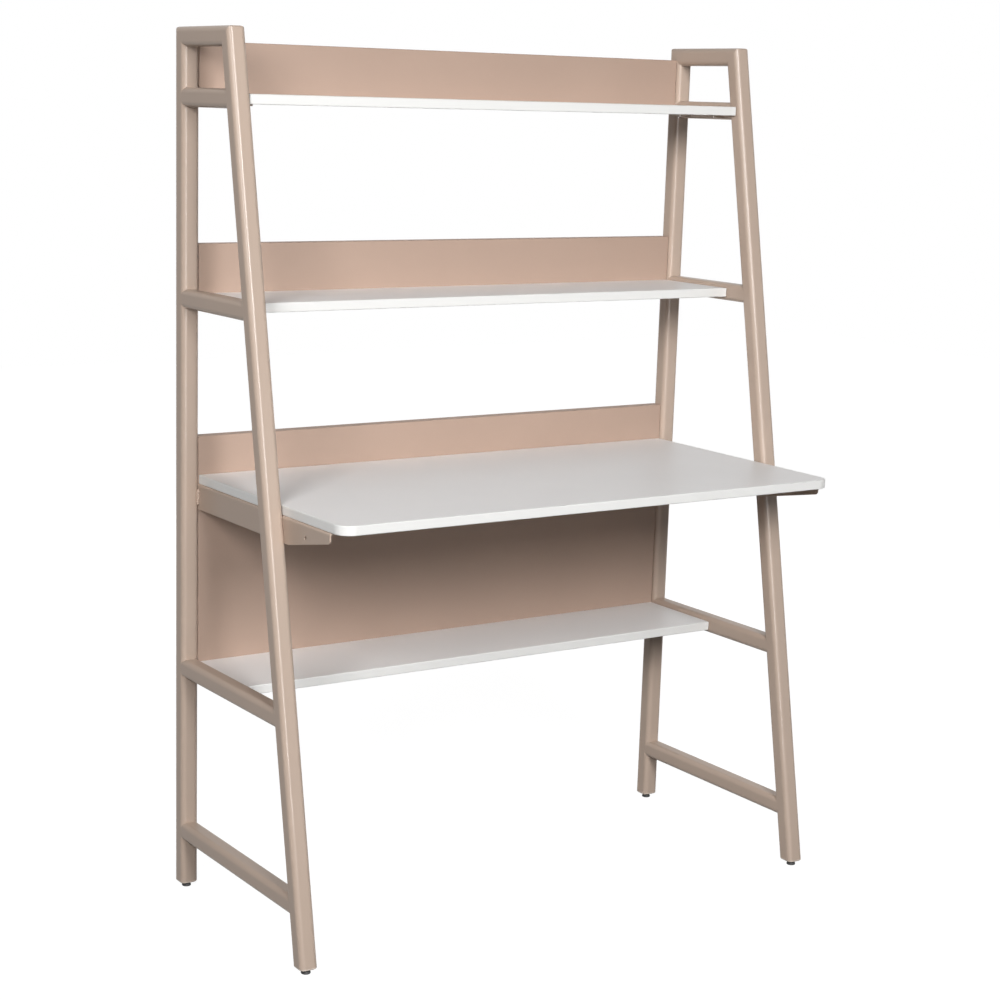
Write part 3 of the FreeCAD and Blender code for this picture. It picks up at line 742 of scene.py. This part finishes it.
def panel_bolt(head_radius, length, fittings):
    """A button head bolt with a hexagon socket along +Z, its head at the origin."""
    face, rim, head = 2.3 * MM, 1.7 * MM, 2.7 * MM
    shank, core, chamfer = 2.5 * MM, 2.1 * MM, 0.4 * MM
    socket_depth, past, run_out = 1.6 * MM, 1.0 * MM, 0.3 * MM
    profile = [(0, 0), (face, 0), (head_radius, rim), (head_radius, head), (core, head),
               (core, length - chamfer), (core - chamfer, length), (0, length)]
    shape = turned(profile, fittings.segments)
    soften(shape, rings_at(shape, head_radius, rim) + rings_at(shape, face, 0),
           width=0.75 * MM, segments=3)
    shape = cut(shape, prism(6, fittings.socket_flats / math.sqrt(3), -past, socket_depth))
    ridge = thread(core, shank, fittings.bolt_pitch, head + run_out, length - chamfer,
                   steps_per_turn=20)
    return joined(shape, ridge)


class LADDERDESK_OT_fit_feet(Operator):
    """Turns the four levelling feet: a moulded pad and a threaded stud each"""

    bl_idname = "ladder_desk.fit_feet"
    bl_label = "Fit Feet"

    def execute(self, context):
        fittings = context.scene.ladder_desk.fittings
        joints = {joint["child"]: joint for joint in SCREW_JOINTS}
        for foot in FEET:
            low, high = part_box(f"{foot}_foot_pad")
            pad = foot_pad(high.z - low.z, (high.x - low.x) / 2, fittings)
            bmesh.ops.translate(pad, vec=((low.x + high.x) / 2, (low.y + high.y) / 2, low.z),
                                verts=pad.verts)
            add_piece(f"{foot}_moulded_pad", pad, "foot_plastic", f"{foot}_foot",
                      f"{foot}_foot_pad")
            joint = joints[f"{foot}_stud"]
            stud = foot_stud(fittings)
            place = standing(Vector(joint["pos_m"]), -Vector(joint["axis"]))
            bmesh.ops.transform(stud, matrix=place, verts=stud.verts)
            add_piece(f"{foot}_threaded_stud", stud, "zinc_plate", f"{foot}_stud",
                      f"{foot}_foot_stud")
        return {"FINISHED"}


def foot_pad(height, radius, fittings):
    """A round pad with a grip ring below, a domed top and the hollow that holds the stud's disc."""
    recess, grip, grip_slope, chamfer = 0.5 * MM, 5.0 * MM, 0.4 * MM, 0.7 * MM
    skirt, shoulder, shoulder_height = 2.6 * MM, 6.9 * MM, 4.6 * MM
    collar, lip, lip_drop = 4.4 * MM, 4.0 * MM, 0.5 * MM
    neck, room, floor, roof, neck_edge = 2.6 * MM, 3.7 * MM, 2.0 * MM, 5.2 * MM, 0.2 * MM
    profile = [(0, recess), (grip, recess), (grip + grip_slope, 0), (radius - chamfer, 0),
               (radius, chamfer), (radius, skirt), (shoulder, shoulder_height),
               (collar, height - lip_drop), (lip, height), (neck + neck_edge, height),
               (neck, height - neck_edge), (neck, roof), (room, roof), (room, floor), (0, floor)]
    shape = turned(profile, fittings.segments)
    soften(shape, rings_at(shape, radius, skirt) + rings_at(shape, shoulder, shoulder_height),
           width=0.5 * MM, segments=3)
    return shape


def foot_stud(fittings):
    """Disc, neck and threaded stud along +Z, with a screwdriver slot in the upper end."""
    disc, thickness, edge = 3.2 * MM, 1.5 * MM, 0.3 * MM
    neck, neck_end = 1.7 * MM, 5.4 * MM
    core, crest, core_start, length, chamfer = 2.45 * MM, 3.0 * MM, 5.9 * MM, 30 * MM, 0.4 * MM
    slot_width, slot_depth, past, run_out = 1.0 * MM, 1.5 * MM, 1.0 * MM, 0.1 * MM
    profile = [(0, 0), (disc - edge, 0), (disc, edge), (disc, thickness - edge),
               (disc - edge, thickness), (neck, thickness), (neck, neck_end), (core, core_start),
               (core, length - chamfer), (core - chamfer, length), (0, length)]
    shape = turned(profile, fittings.segments)
    slot = blade(2 * crest + past, slot_width, length - slot_depth, length + past)
    shape = cut(shape, slot)
    ridge = thread(core, crest, fittings.stud_pitch, core_start - run_out,
                   length - slot_depth - run_out, steps_per_turn=24)
    return joined(shape, ridge)


# Stage

def add_lamp(name, azimuth, elevation, distance, size, radiance):
    """A flat lamp aimed at the middle of the desk. Azimuth 0 is in front, -90 at the left."""
    lamp = bpy.data.lights.new(name, "AREA")
    lamp.shape = "RECTANGLE"
    lamp.size, lamp.size_y = size
    lamp.energy = radiance * math.pi * size[0] * size[1]
    around, above = math.radians(azimuth), math.radians(elevation)
    back = Vector((math.sin(around) * math.cos(above), -math.cos(around) * math.cos(above),
                   math.sin(above)))
    target = (CAD_BOX[0] + CAD_BOX[1]) / 2
    holder = bpy.data.objects.new(name, lamp)
    holder.matrix_world = standing(target + back * distance, back)
    holder.visible_camera = False
    bpy.context.scene.collection.objects.link(holder)
    return holder


def background_factor(tree):
    """1 for rays that see the background itself: camera, glossy and transmission rays."""
    path = tree.nodes.new("ShaderNodeLightPath")
    seen = path.outputs["Is Camera Ray"]
    for other in ("Is Glossy Ray", "Is Transmission Ray"):
        either = tree.nodes.new("ShaderNodeMath")
        either.operation = "MAXIMUM"
        tree.links.new(seen, either.inputs[0])
        tree.links.new(path.outputs[other], either.inputs[1])
        seen = either.outputs[0]
    return seen


def make_world():
    """Plain white where the background itself is seen, and no light of its own."""
    world = bpy.data.worlds.new("studio")
    world.use_nodes = True
    background = world.node_tree.nodes["Background"]
    background.inputs["Color"].default_value = (1, 1, 1, 1)
    world.node_tree.links.new(background_factor(world.node_tree), background.inputs["Strength"])
    bpy.context.scene.world = world


def floor_material():
    """A matt floor, lifted to white where it is seen, that still takes the desk's shadow."""
    floor = Shader("pale_floor")
    grey = floor.tinted(floor.noise(scale=3.0), GREY_LOW, GREY_HIGH)
    matt = floor.add("BsdfDiffuse", {"Color": grey})
    distance = floor.add("VectorMath", {0: floor.place}, operation="LENGTH").outputs["Value"]
    lift = floor.add("MapRange", {"Value": distance, "From Min": FLOOR_NEAR, "From Max": FLOOR_FAR,
                                  "To Min": NEAR_LIFT, "To Max": FULL_LIFT}).outputs["Result"]
    seen = floor.add("Math", {0: background_factor(floor.tree), 1: lift}, operation="MULTIPLY")
    glow = floor.add("Emission", {"Strength": seen.outputs[0]})
    both = floor.add("AddShader", {0: matt.outputs[0], 1: glow.outputs[0]})
    floor.add("OutputMaterial", {"Surface": both.outputs[0]})
    return floor.material


def add_floor():
    shape = bmesh.new()
    bmesh.ops.create_grid(shape, x_segments=1, y_segments=1, size=FLOOR_WIDTH / 2)
    mesh = bpy.data.meshes.new("floor")
    shape.to_mesh(mesh)
    shape.free()
    mesh.materials.append(floor_material())
    floor = bpy.data.objects.new("floor", mesh)
    bpy.context.scene.collection.objects.link(floor)


def add_camera(studio):
    camera = bpy.data.cameras.new("camera")
    camera.sensor_width = SENSOR_WIDTH
    camera.lens = studio.lens
    camera.shift_x, camera.shift_y = studio.shift
    azimuth, elevation = studio.azimuth, studio.elevation
    turn = (Matrix.Rotation(azimuth, 4, "Z") @ Matrix.Rotation(math.pi / 2 - elevation, 4, "X")
            @ Matrix.Rotation(studio.roll, 4, "Z"))
    holder = bpy.data.objects.new("camera", camera)
    holder.matrix_world = Matrix.Translation(studio.camera) @ turn
    bpy.context.scene.collection.objects.link(holder)
    bpy.context.scene.camera = holder


class LADDERDESK_OT_set_stage(Operator):
    """Sets the floor, the lamps, the background and the camera"""

    bl_idname = "ladder_desk.set_stage"
    bl_label = "Set Stage"

    def execute(self, context):
        studio = context.scene.ladder_desk.studio
        context.scene.view_settings.view_transform = "Standard"
        add_floor()
        make_world()
        for name, (azimuth, elevation, distance, size) in LAMPS.items():
            lamp = add_lamp(name, azimuth, elevation, distance, size, getattr(studio, name))
            lamp.visible_glossy = name not in UNMIRRORED
            lamp.visible_diffuse = name not in CARDS
        add_camera(studio)
        return {"FINISHED"}


# Add-on

class LADDERDESK_PT_main(Panel):
    bl_idname = "LADDERDESK_PT_main"
    bl_label = "Ladder Desk"
    bl_space_type = "VIEW_3D"
    bl_region_type = "UI"
    bl_category = "Ladder Desk"

    def draw(self, context):
        desk = context.scene.ladder_desk
        for group in (desk.finishes, desk.fittings, desk.studio):
            column = self.layout.box().column()
            for key in group.__annotations__:
                column.prop(group, key)
        column = self.layout.column(align=True)
        for step in STEPS:
            column.operator(step.bl_idname)


STEPS = (LADDERDESK_OT_coat_steel, LADDERDESK_OT_face_boards, LADDERDESK_OT_finish_inserts,
         LADDERDESK_OT_weld_brackets, LADDERDESK_OT_weld_tabs, LADDERDESK_OT_drive_screws,
         LADDERDESK_OT_fit_bolts, LADDERDESK_OT_fit_feet, LADDERDESK_OT_set_stage)
CLASSES = (Finishes, Fittings, Studio, LadderDesk, *STEPS, LADDERDESK_PT_main)


def register():
    for item in CLASSES:
        bpy.utils.register_class(item)
    bpy.types.Scene.ladder_desk = PointerProperty(type=LadderDesk)


def unregister():
    del bpy.types.Scene.ladder_desk
    for item in reversed(CLASSES):
        bpy.utils.unregister_class(item)


def main():
    register()
    bpy.ops.ladder_desk.coat_steel()
    bpy.ops.ladder_desk.face_boards()
    bpy.ops.ladder_desk.finish_inserts()
    bpy.ops.ladder_desk.weld_brackets()
    bpy.ops.ladder_desk.weld_tabs()
    bpy.ops.ladder_desk.drive_screws()
    bpy.ops.ladder_desk.fit_bolts()
    bpy.ops.ladder_desk.fit_feet()
    bpy.ops.ladder_desk.set_stage()


if __name__ == "__main__":
    main()
